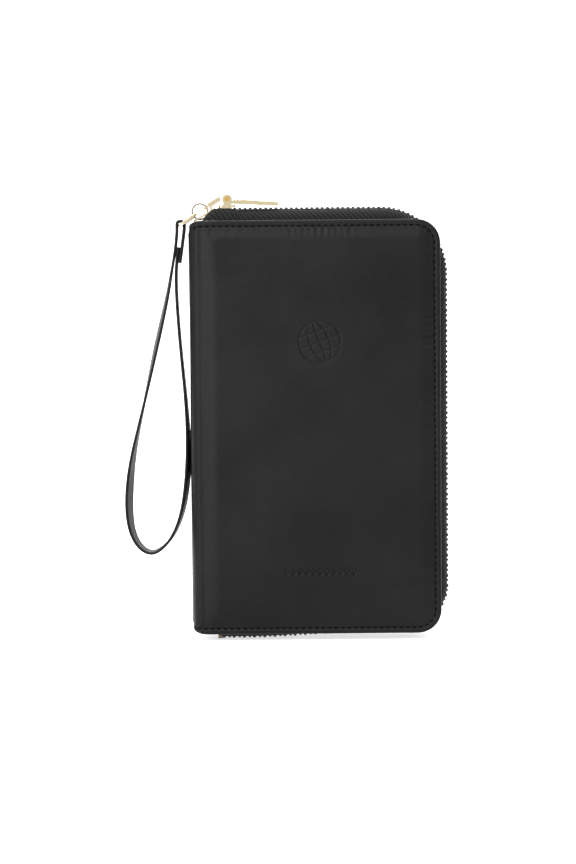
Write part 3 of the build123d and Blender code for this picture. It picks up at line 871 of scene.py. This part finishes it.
def tooth_rings(side, place):
    """Round sections along one loop of the coil, at one place along the ridge."""
    profile = np.array(TOOTH_LINE) * MM
    rings = []
    for (depth, out, ahead), way in zip(profile, np.gradient(profile, axis=0)):
        x, z, in_x, in_z = interpolated(place + ahead, station_lengths, stations)
        sunk = depth + np.interp(place + ahead, station_lengths, falls)
        centre = np.array([x + in_x * sunk, side * out, z + in_z * sunk])
        down = np.array([in_x, 0, in_z])
        along = np.array([-in_z, 0, in_x])
        tangent = down * way[0] + np.array([0, side * way[1], 0]) + along * way[2]
        tangent /= np.linalg.norm(tangent)
        first = np.cross(tangent, along)
        first /= np.linalg.norm(first)
        second = np.cross(tangent, first) * TOOTH_FLATNESS
        rings.append([centre + (first * math.cos(angle) + second * math.sin(angle)) * TOOTH_RADIUS
                      for angle in AROUND])
    return rings


def make_teeth(side, name, body, node, phase):
    """One half of the interlocked coil: a slanted loop for each pitch, and its cord."""
    vertices, faces = coil_cord(side)
    start = ZIP_START_X - stations[0, 0] + phase
    end = station_lengths[-1] - 2.5 * MM
    for place in np.arange(start, end, TOOTH_PITCH):
        add_tube(vertices, faces, tooth_rings(side, place))
    piece = mesh_piece(name, vertices, faces)
    paint(piece, coil_nylon)
    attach(piece, body)
    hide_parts(node)


make_tape(-1, "front_tape", "front_cover", "front_zip_tape")
make_tape(1, "back_tape", "back_cover", "back_zip_tape")
make_teeth(-1, "front_teeth", "front_cover", "front_zip_coil", 0.0)
make_teeth(1, "back_teeth", "back_cover", "back_zip_coil", TOOTH_PITCH / 2)


# ---- carried-over parts ---------------------------------------------------------------------
def soften(node, width):
    """Rounds a CAD part's edges and smooths its shading without touching its mesh."""
    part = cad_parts[node]
    for polygon in part.data.polygons:
        polygon.use_smooth = True
    bevel = part.modifiers.new("soft_edges", "BEVEL")
    bevel.width = width
    bevel.segments = 3
    bevel.limit_method = "ANGLE"
    bevel.angle_limit = math.radians(35)
    bevel.harden_normals = True
    return part


for metal_node, edge in (("slider_body", 0.2), ("pull_tab", 0.28), ("zip_end_clip", 0.2),
                         ("d_ring", 0.05), ("coin_slider", 0.12), ("coin_pull", 0.15)):
    paint(soften(metal_node, edge * MM), gold)
paint(soften("pull_pin", 0.15 * MM), deep_gold)
# The split ring and the zip stops take the metal painted dark in place of the wire's dark
# reflections.
for dark_node in ("split_ring", "front_zip_stop", "back_zip_stop"):
    paint(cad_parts[dark_node], reflection_darkened_metal)

for inner_node in ("card_pocket_1", "card_pocket_2", "card_pocket_3", "slip_pocket",
                   "boarding_pass_pocket", "passport_pocket", "divider_page", "page_gusset",
                   "coin_pocket_header", "coin_pocket_panel", "coin_pocket_rim"):
    paint(soften(inner_node, 0.18 * MM), inner_leather)
for lining_node in ("front_lining", "back_lining", "spine_lining"):
    paint(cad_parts[lining_node], lining_cloth)
paint(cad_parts["coin_zip_tape"], lining_cloth)
paint(soften("coin_zip_coil", 0.2 * MM), coil_nylon)
for foam_node in ("front_foam", "back_foam", "spine_foam"):
    paint(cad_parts[foam_node], foam_look)
for board_node in ("front_board", "back_board", "spine_board"):
    paint(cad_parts[board_node], board_look)

# ---- raised face of the pull ----------------------------------------------------------------
pin_low, pin_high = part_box("pull_pin")
PULL_SLOPE = math.radians(3)
PULL_X = (pin_low.x + pin_high.x) / 2
PULL_Z = (pin_low.z + pin_high.z) / 2
# The plate's side view as (distance from the pin, height over the pin's middle), in millimetres.
FACE_PROFILE = [(3.0, -1.0), (3.1, -0.2), (3.6, 0.35), (8.0, 0.5), (16.0, 0.35), (24.6, 0.1),
                (25.6, -0.2), (25.9, -1.0)]
FACE_BOTTOM = -1.0 * MM
FACE_HALF_WIDTH = 2.75 * MM
FACE_EDGE = 0.35 * MM


def make_pull_face():
    """A slightly crowned plate on top of the pull."""
    rings = []
    for out, lower in ((-FACE_HALF_WIDTH, FACE_EDGE), (FACE_EDGE - FACE_HALF_WIDTH, 0),
                       (FACE_HALF_WIDTH - FACE_EDGE, 0), (FACE_HALF_WIDTH, FACE_EDGE)):
        ring = []
        for along, up in FACE_PROFILE:
            along *= MM
            up = max(up * MM - lower, FACE_BOTTOM)
            ring.append((PULL_X + along * math.cos(PULL_SLOPE) + up * math.sin(PULL_SLOPE),
                         out, PULL_Z - along * math.sin(PULL_SLOPE) + up * math.cos(PULL_SLOPE)))
        rings.append(ring)
    vertices, faces = tube(rings)
    piece = mesh_piece("pull_face", vertices, faces)
    bevel = piece.modifiers.new("soft_edges", "BEVEL")
    bevel.width = 0.12 * MM
    bevel.segments = 2
    paint(piece, gold)
    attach(piece, "zip_pull")


make_pull_face()

# ---- studio ---------------------------------------------------------------------------------
FLOOR_REACH = 3.0
FLOOR_BACK = 0.9
FLOOR_CURVE = 0.6
FLOOR_GLOW = 0.62
WORLD_STRENGTH = 0.6


def make_floor():
    """A pale floor that curves up into the backdrop."""
    profile = [(-FLOOR_REACH, 0), (FLOOR_BACK, 0)]
    for turn in np.linspace(0.1, math.pi / 2, 16):
        profile.append((FLOOR_BACK + FLOOR_CURVE * math.sin(turn),
                        FLOOR_CURVE * (1 - math.cos(turn))))
    profile.append((FLOOR_BACK + FLOOR_CURVE, FLOOR_REACH))
    vertices = [(x, y, z) for y, z in profile for x in (-FLOOR_REACH, FLOOR_REACH)]
    floor = mesh_piece("floor", vertices, grid_faces(len(profile), 2))
    look = Look("studio_floor")
    look.set(Base_Color=bright(0.8), Roughness=0.95, Specular_IOR_Level=0.1,
             Emission_Color=bright(1), Emission_Strength=FLOOR_GLOW)
    look.bump(look.noise(40.0, 3.0), 0.4 * MM, 0.2)
    paint(floor, look.material)


def area_light(name, place, aim, size, power):
    """A soft rectangular light aimed at a point."""
    data = bpy.data.lights.new(name, "AREA")
    data.shape = "RECTANGLE"
    data.size, data.size_y = size
    data.energy = power
    light = bpy.data.objects.new(name, data)
    light.location = place
    light.rotation_euler = (Vector(aim) - Vector(place)).to_track_quat("-Z", "Y").to_euler()
    bpy.context.scene.collection.objects.link(light)


make_floor()
area_light("key", place=(-0.85, -1.0, 0.45), aim=(0, 0, 0.12), size=(0.25, 0.8), power=14)
area_light("top", place=(-0.2, -0.9, 1.0), aim=(0, 0, 0.2), size=(0.7, 0.2), power=13)
area_light("sweep", place=(0, 0.7, 1.5), aim=(0, 0.6, 0), size=(2.0, 0.8), power=26)

world = bpy.data.worlds.new("studio")
world.use_nodes = True
background = world.node_tree.nodes["Background"]
background.inputs["Color"].default_value = bright(1)
background.inputs["Strength"].default_value = WORLD_STRENGTH
bpy.context.scene.world = world
bpy.context.scene.view_settings.view_transform = "Standard"
